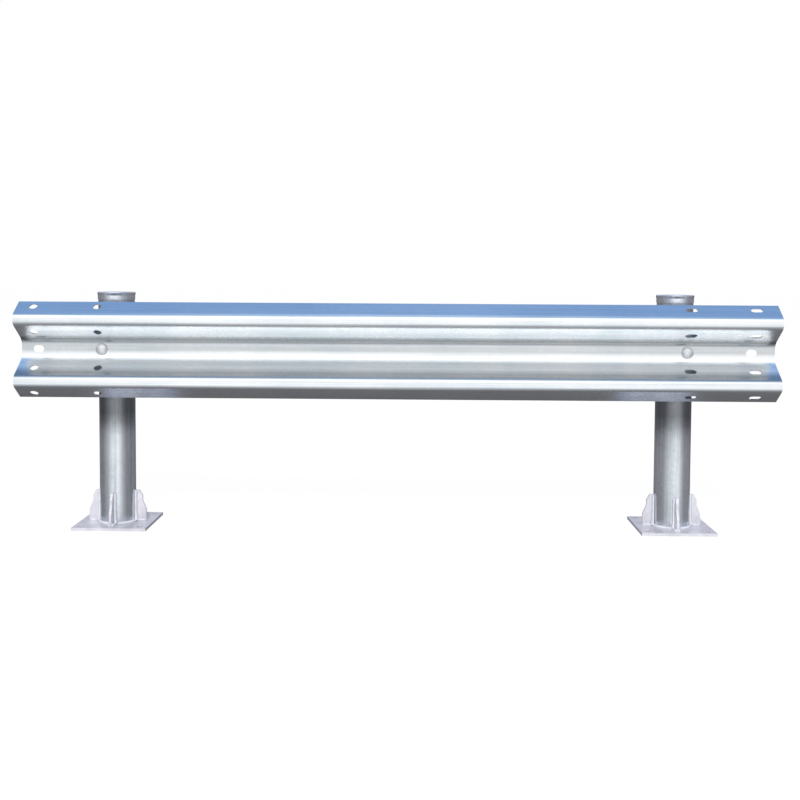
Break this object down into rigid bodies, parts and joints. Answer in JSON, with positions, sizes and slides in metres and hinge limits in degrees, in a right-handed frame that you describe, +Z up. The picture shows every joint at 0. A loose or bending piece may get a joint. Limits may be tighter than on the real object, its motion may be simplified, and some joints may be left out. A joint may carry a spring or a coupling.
{
  "type": "highway guardrail section",
  "caption": "Two-wave steel guardrail bay: a corrugated beam on spacer blocks between round posts with pressed caps, ribbed square base flanges and anchor holes.",
  "frame": {"origin": "centre of the underside of the left post's base flange", "axes": "+X along the beam towards the right post, -Y towards the traffic, +Z up"},
  "size_m": [2.44, 0.3849, 0.7962],
  "materials": {
    "beam_zinc": "bright hot-dip galvanised sheet, smooth and glossy with fine streaks along the beam",
    "post_zinc": "hot-dip galvanised tube, satin, with vertical runs",
    "cap_zinc": "pressed and galvanised cap, satin",
    "foot_zinc": "thick hot-dip zinc over welded plate, glossy and lumpy near the welds",
    "block_zinc": "galvanised folded plate, satin",
    "bolt_zinc": "galvanised fasteners, matte light grey"
  },
  "bodies": {
    "root": {"two_wave_beam": "beam_zinc", "left_post_tube": "post_zinc", "left_post_cap": "cap_zinc", "left_base_flange": "foot_zinc", "left_spacer_block": "block_zinc", "left_rail_bolt": "bolt_zinc", "left_rail_bolt_washer": "bolt_zinc", "left_rail_bolt_nut": "bolt_zinc", "left_post_bolt": "bolt_zinc", "left_post_bolt_head_washer": "bolt_zinc", "left_post_bolt_nut_washer": "bolt_zinc", "left_post_bolt_nut": "bolt_zinc", "left_rib_front": "foot_zinc", "left_rib_back": "foot_zinc", "left_rib_inner": "foot_zinc", "left_rib_outer": "foot_zinc", "right_post_tube": "post_zinc", "right_post_cap": "cap_zinc", "right_base_flange": "foot_zinc", "right_spacer_block": "block_zinc", "right_rail_bolt": "bolt_zinc", "right_rail_bolt_washer": "bolt_zinc", "right_rail_bolt_nut": "bolt_zinc", "right_post_bolt": "bolt_zinc", "right_post_bolt_head_washer": "bolt_zinc", "right_post_bolt_nut_washer": "bolt_zinc", "right_post_bolt_nut": "bolt_zinc", "right_rib_front": "foot_zinc", "right_rib_back": "foot_zinc", "right_rib_inner": "foot_zinc", "right_rib_outer": "foot_zinc"}
  },
  "joints": []
}
